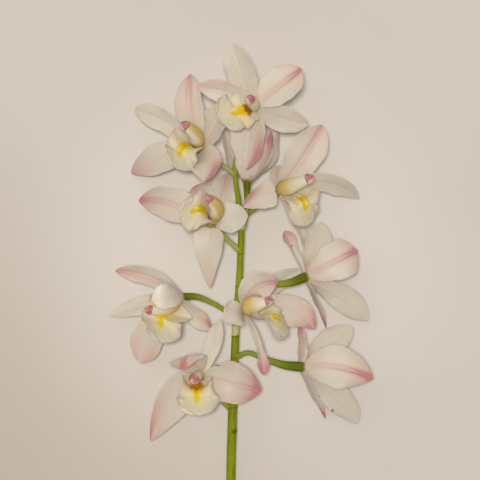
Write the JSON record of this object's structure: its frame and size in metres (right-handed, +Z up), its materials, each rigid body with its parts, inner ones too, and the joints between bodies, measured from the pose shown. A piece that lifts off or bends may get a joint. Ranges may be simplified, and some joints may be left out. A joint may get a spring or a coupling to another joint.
{
  "type": "mini cymbidium orchid stem",
  "caption": "Cut orchid stem lying flat: a green stalk with open cream blooms striped rose pink, each with a yellow-throated lip and a red-capped column.",
  "frame": {"origin": "centre of the bounding box on the surface that the stem lies on", "axes": "+Y along the stem from its cut end to the top blooms, +Z up from the surface, +X to the right when it is looked down on with the top blooms away from the viewer"},
  "size_m": [0.1727, 0.4216, 0.0648],
  "materials": {
    "stalk": "satin green stem skin",
    "tepal": "soft waxy petal, cream with rose stripes",
    "lip": "soft waxy petal, cream with a yellow to orange callus",
    "column": "smooth waxy olive cream",
    "cap": "smooth waxy rose red"
  },
  "bodies": {
    "root": {"flower_stalk": "stalk", "bloom_a_sepals_petals": "tepal", "bloom_a_lip": "lip", "bloom_a_column": "column", "bloom_a_anther_cap": "cap", "bloom_b_sepals_petals": "tepal", "bloom_b_lip": "lip", "bloom_b_column": "column", "bloom_b_anther_cap": "cap", "bloom_c_sepals_petals": "tepal", "bloom_c_lip": "lip", "bloom_c_column": "column", "bloom_c_anther_cap": "cap", "bloom_d_sepals_petals": "tepal", "bloom_d_lip": "lip", "bloom_d_column": "column", "bloom_d_anther_cap": "cap", "bloom_e_sepals_petals": "tepal", "bloom_e_lip": "lip", "bloom_e_column": "column", "bloom_e_anther_cap": "cap", "bloom_f_sepals_petals": "tepal", "bloom_f_lip": "lip", "bloom_f_column": "column", "bloom_f_anther_cap": "cap", "bloom_g_sepals_petals": "tepal", "bloom_g_lip": "lip", "bloom_g_column": "column", "bloom_g_anther_cap": "cap", "bloom_h_sepals_petals": "tepal", "bloom_h_lip": "lip", "bloom_h_column": "column", "bloom_h_anther_cap": "cap", "bloom_i_sepals_petals": "tepal", "bloom_i_lip": "lip", "bloom_i_column": "column", "bloom_i_anther_cap": "cap", "bloom_j_sepals_petals": "tepal", "bloom_j_lip": "lip", "bloom_j_column": "column", "bloom_j_anther_cap": "cap"}
  },
  "joints": []
}
